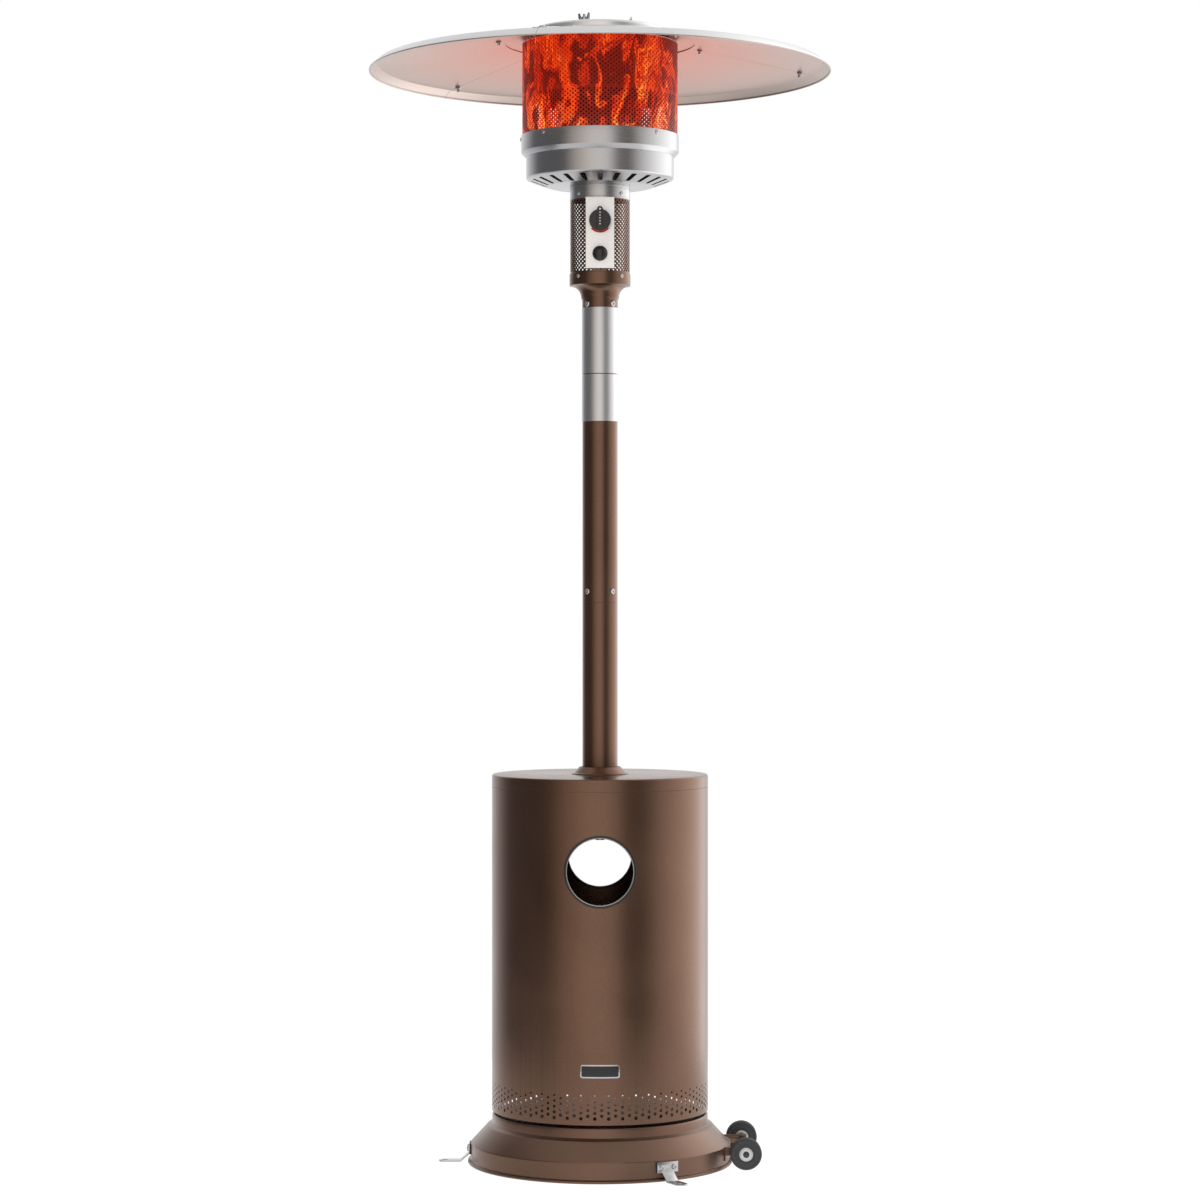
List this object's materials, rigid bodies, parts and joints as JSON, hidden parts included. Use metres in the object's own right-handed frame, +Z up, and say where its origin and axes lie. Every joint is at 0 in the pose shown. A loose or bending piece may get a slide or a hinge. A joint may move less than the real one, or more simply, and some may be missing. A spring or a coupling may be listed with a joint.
{
  "type": "patio heater",
  "caption": "Free-standing gas patio heater: round shade reflector over a mesh emitter, pole, lift-up cylinder housing with a table top, wheeled weighted base.",
  "frame": {"origin": "on the floor, on the centre line of the pole", "axes": "+Z up along the pole, -Y towards the user's side with the control panel, +X towards the wheels"},
  "size_m": [0.816, 0.816, 2.022],
  "materials": {
    "bronze_paint": "semi-gloss metallic bronze powder coat",
    "black_steel": "satin black",
    "iron": "rough cast",
    "bright_steel": "bright zinc",
    "stainless": "brushed round the axis",
    "reflector_aluminium": "satin rolled sheet",
    "brass": "machined",
    "gas_pipe": "drawn tube",
    "rubber_pad": "matte",
    "tyre_rubber": "matte",
    "wheel_hub": "bright",
    "panel_paint": "satin off-white",
    "black_plastic": "glossy",
    "rim_lining": "pale grey",
    "plate_black": "gloss black, blank, bright border"
  },
  "bodies": {
    "stand": {"base_pan": "bronze_paint", "wheel_bracket": "bronze_paint", "head_cup": "bronze_paint", "control_guard": "bronze_paint", "pole_lower": "bronze_paint", "pole_upper": "bronze_paint", "support_leg_1": "black_steel", "support_leg_2": "black_steel", "support_leg_3": "black_steel", "pole_socket": "black_steel", "pole_coupling": "black_steel", "burner_bridge": "black_steel", "base_weight": "iron", "anchor_bracket_left": "bright_steel", "anchor_bracket_front": "bright_steel", "anchor_bracket_back": "bright_steel", "anchor_bolts": "bright_steel", "base_bolts": "bright_steel", "axle_clips": "bright_steel", "pole_screws": "bright_steel", "head_screws": "bright_steel", "reflector_bolts": "bright_steel", "reflector_posts": "bright_steel", "wing_nuts": "bright_steel", "wheel_axle": "bright_steel", "steel_sleeve_lower": "stainless", "steel_sleeve_upper": "stainless", "neck_collar": "stainless", "burner_bowl": "stainless", "burner_collar": "stainless", "emitter_screen": "stainless", "inner_screen": "stainless", "emitter_cap": "stainless", "gas_burner": "stainless", "pilot_assembly": "stainless", "reflector_panel_1": "reflector_aluminium", "reflector_panel_2": "reflector_aluminium", "reflector_panel_3": "reflector_aluminium", "reflector_disc": "reflector_aluminium", "seam_straps": "reflector_aluminium", "gas_valve": "brass", "gas_inlet_union": "brass", "gas_supply_tube": "gas_pipe", "anchor_pads": "rubber_pad", "control_panel": "panel_paint", "igniter_unit": "black_plastic", "tilt_switch": "black_plastic"},
    "tank_housing": {"housing_shell": "bronze_paint", "hand_hole_rims": "rim_lining", "name_plate": "plate_black", "table_top": "bronze_paint", "table_collar": "bronze_paint"},
    "valve_spindle": {"valve_stem": "brass"},
    "control_knob": {"control_knob": "black_plastic"},
    "igniter_button": {"igniter_button": "black_plastic"},
    "wheel_front": {"wheel_tyre_front": "tyre_rubber", "wheel_hub_front": "wheel_hub"},
    "wheel_back": {"wheel_tyre_back": "tyre_rubber", "wheel_hub_back": "wheel_hub"}
  },
  "joints": [
    {"name": "housing_lift", "type": "slide", "parent": "stand", "child": "tank_housing", "axis": [0, 0, 1], "range_m": [0, 0.47]},
    {"name": "knob_turn", "type": "hinge", "parent": "stand", "child": "valve_spindle", "pos_m": [0, -0.05, 1.6565], "axis": [0, -1, 0], "range_deg": [0, 225]},
    {"name": "knob_push", "type": "slide", "parent": "valve_spindle", "child": "control_knob", "axis": [0, 1, 0], "range_m": [0, 0.004], "stiffness_N_per_m": 1200},
    {"name": "igniter_push", "type": "slide", "parent": "stand", "child": "igniter_button", "axis": [0, 1, 0], "range_m": [0, 0.005], "stiffness_N_per_m": 900},
    {"name": "wheel_front_spin", "type": "hinge", "parent": "stand", "child": "wheel_front", "pos_m": [0.254, -0.0925, 0.0285], "axis": [0, 1, 0], "continuous": true},
    {"name": "wheel_back_spin", "type": "hinge", "parent": "stand", "child": "wheel_back", "pos_m": [0.254, 0.0925, 0.0285], "axis": [0, 1, 0], "continuous": true}
  ]
}
